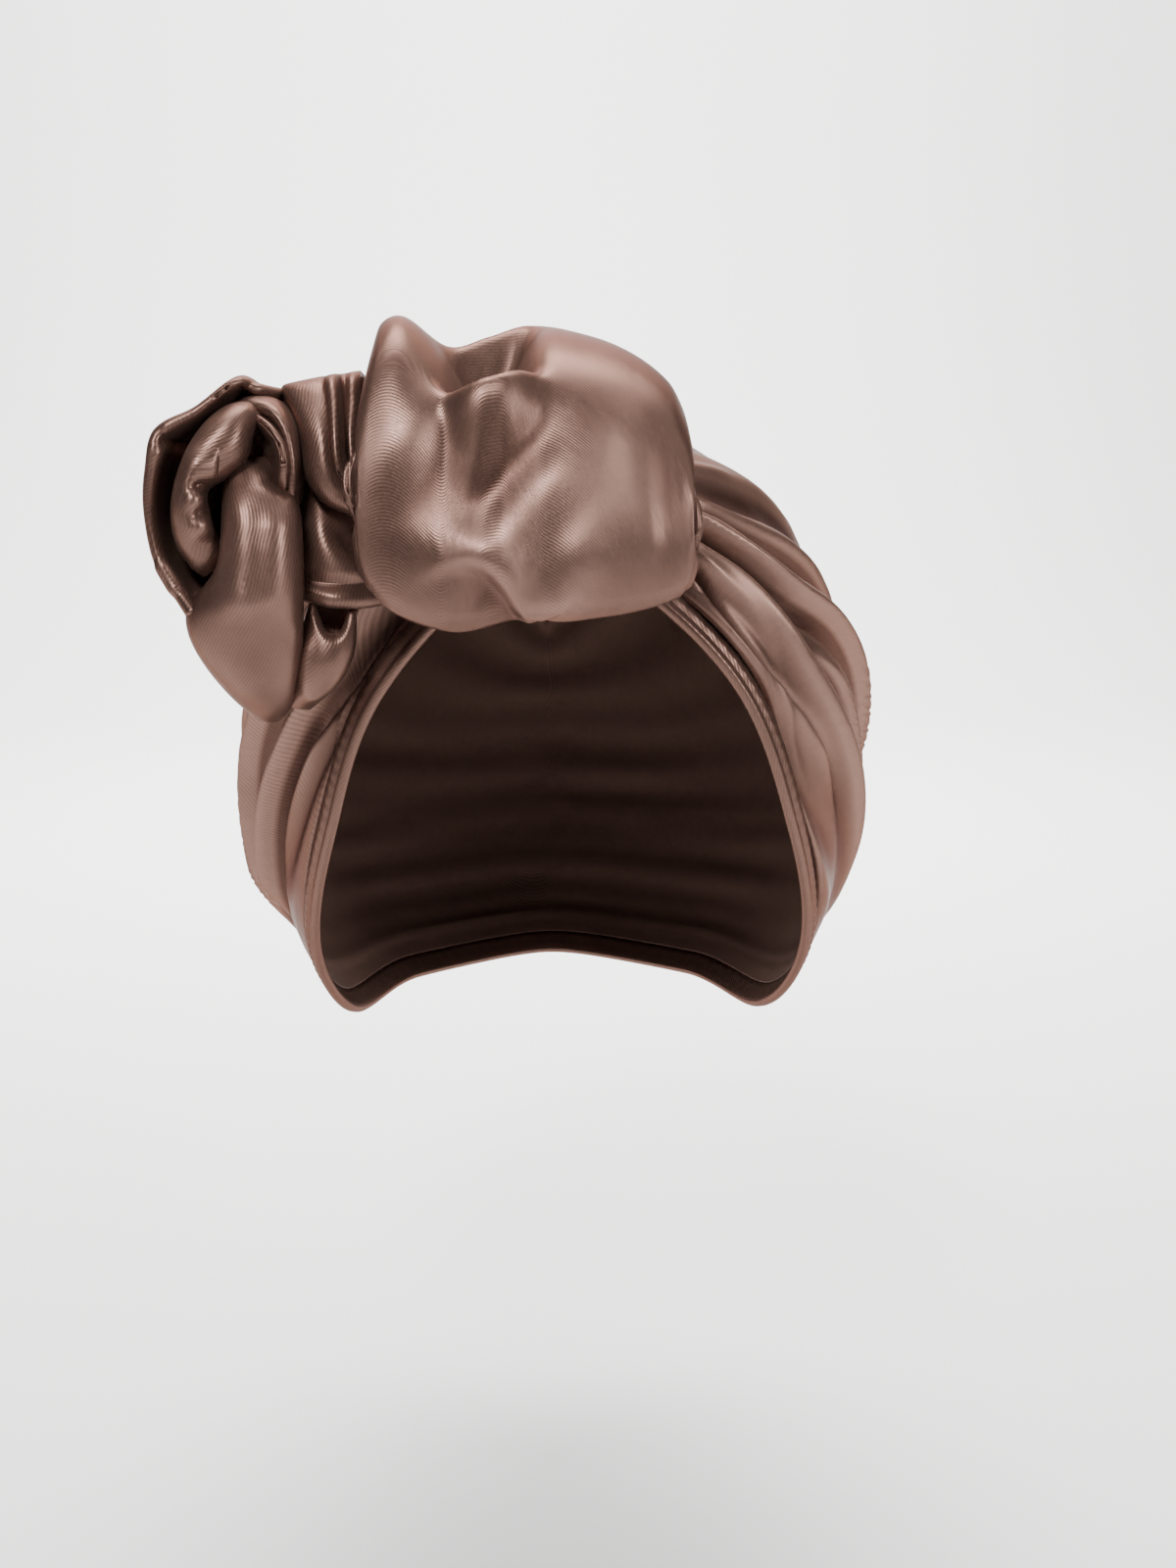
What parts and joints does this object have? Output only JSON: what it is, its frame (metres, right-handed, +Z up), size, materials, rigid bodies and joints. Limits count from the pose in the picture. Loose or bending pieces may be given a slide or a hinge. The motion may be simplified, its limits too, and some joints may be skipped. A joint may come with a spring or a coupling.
{
  "type": "turban headwrap",
  "caption": "Pre-tied satin turban: a pleated cap open at the face, with a large front loop and a side rosette knot.",
  "frame": {"origin": "inside of the crown, at the top of the head that wears it", "axes": "+Z up, the face opening towards -Y, the wearer's left towards +X"},
  "size_m": [0.1788, 0.2101, 0.1851],
  "materials": {
    "satin": "soft sheen satin"
  },
  "bodies": {
    "root": {"cap": "satin", "edge_hem": "satin", "front_petal": "satin", "knot_band": "satin", "knot_loop": "satin", "side_fold": "satin", "rosette_leaf": "satin", "rosette_lobe": "satin", "rosette_roll": "satin", "rosette_arc": "satin", "rosette_core": "satin"}
  },
  "joints": []
}
